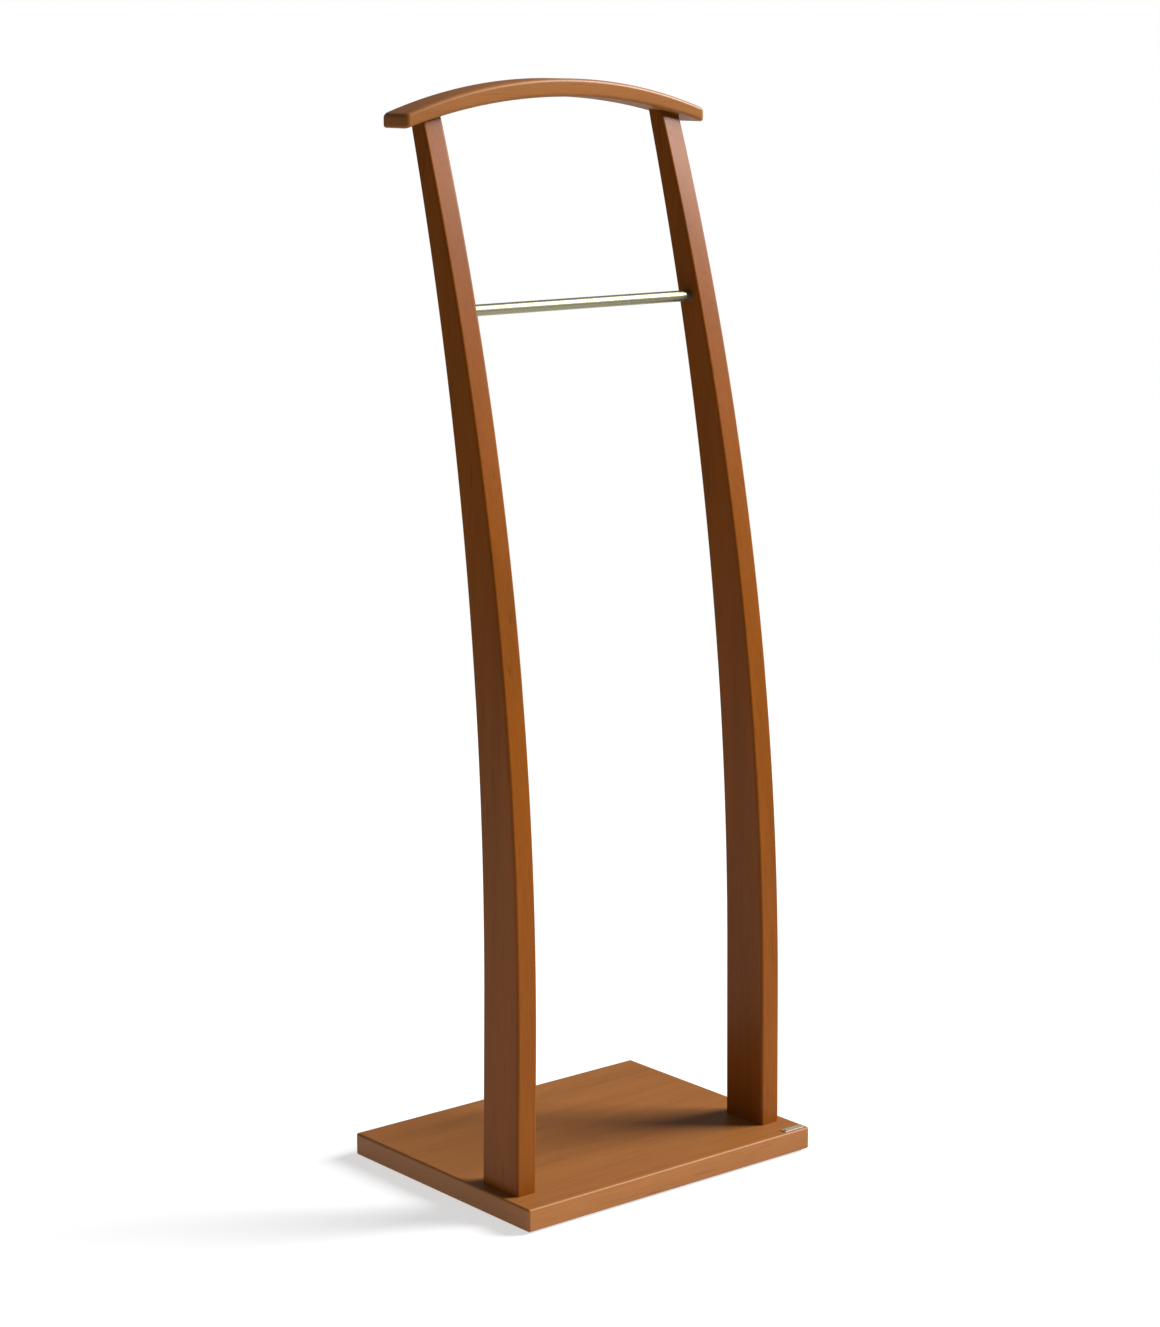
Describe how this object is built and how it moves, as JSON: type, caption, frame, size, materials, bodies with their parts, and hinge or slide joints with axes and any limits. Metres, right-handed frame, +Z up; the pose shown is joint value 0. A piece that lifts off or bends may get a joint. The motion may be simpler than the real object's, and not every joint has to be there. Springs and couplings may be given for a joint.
{
  "type": "valet stand",
  "caption": "Wooden valet stand with a flat base board, two swept uprights, a thin metal trouser bar and an arched shoulder hanger.",
  "frame": {"origin": "on the floor under the centre of the base board", "axes": "+X along the hanger and the trouser bar towards the side with the badge, +Y to the back, where the uprights lean, +Z up"},
  "size_m": [0.407, 0.306, 1.1745],
  "materials": {
    "stained_wood": "satin lacquer over a medium red-brown stain",
    "core_board": "raw fibreboard",
    "raw_wood": "plain turned wood",
    "nickel_tube": "satin nickel with a warm cast",
    "bush_nylon": "dark brown nylon",
    "plug_plastic": "moulded",
    "zinc_steel": "zinc plated",
    "felt": "pressed felt",
    "badge_metal": "satin",
    "pin_steel": "darkened"
  },
  "bodies": {
    "frame": {"base_core": "core_board", "base_top_veneer": "stained_wood", "base_bottom_veneer": "stained_wood", "base_lipping_front": "stained_wood", "base_lipping_back": "stained_wood", "base_lipping_left": "stained_wood", "base_lipping_right": "stained_wood", "upright_left": "stained_wood", "upright_right": "stained_wood", "shoulder_hanger": "stained_wood", "bar_bush_left": "bush_nylon", "foot_bolts_left": "zinc_steel", "foot_washers_left": "zinc_steel", "foot_inserts_left": "zinc_steel", "foot_dowel_left": "raw_wood", "hanger_dowels_left": "raw_wood", "felt_pad_front_left": "felt", "felt_pad_back_left": "felt", "bar_bush_right": "bush_nylon", "foot_bolts_right": "zinc_steel", "foot_washers_right": "zinc_steel", "foot_inserts_right": "zinc_steel", "foot_dowel_right": "raw_wood", "hanger_dowels_right": "raw_wood", "felt_pad_front_right": "felt", "felt_pad_back_right": "felt", "badge_plate": "badge_metal", "badge_pin": "pin_steel"},
    "bar": {"trouser_bar": "nickel_tube", "bar_plug_left": "plug_plastic", "bar_plug_right": "plug_plastic"}
  },
  "joints": [
    {"name": "bar_spin", "type": "hinge", "parent": "frame", "child": "bar", "pos_m": [0, 0.00341, 0.942], "axis": [1, 0, 0], "continuous": true}
  ]
}
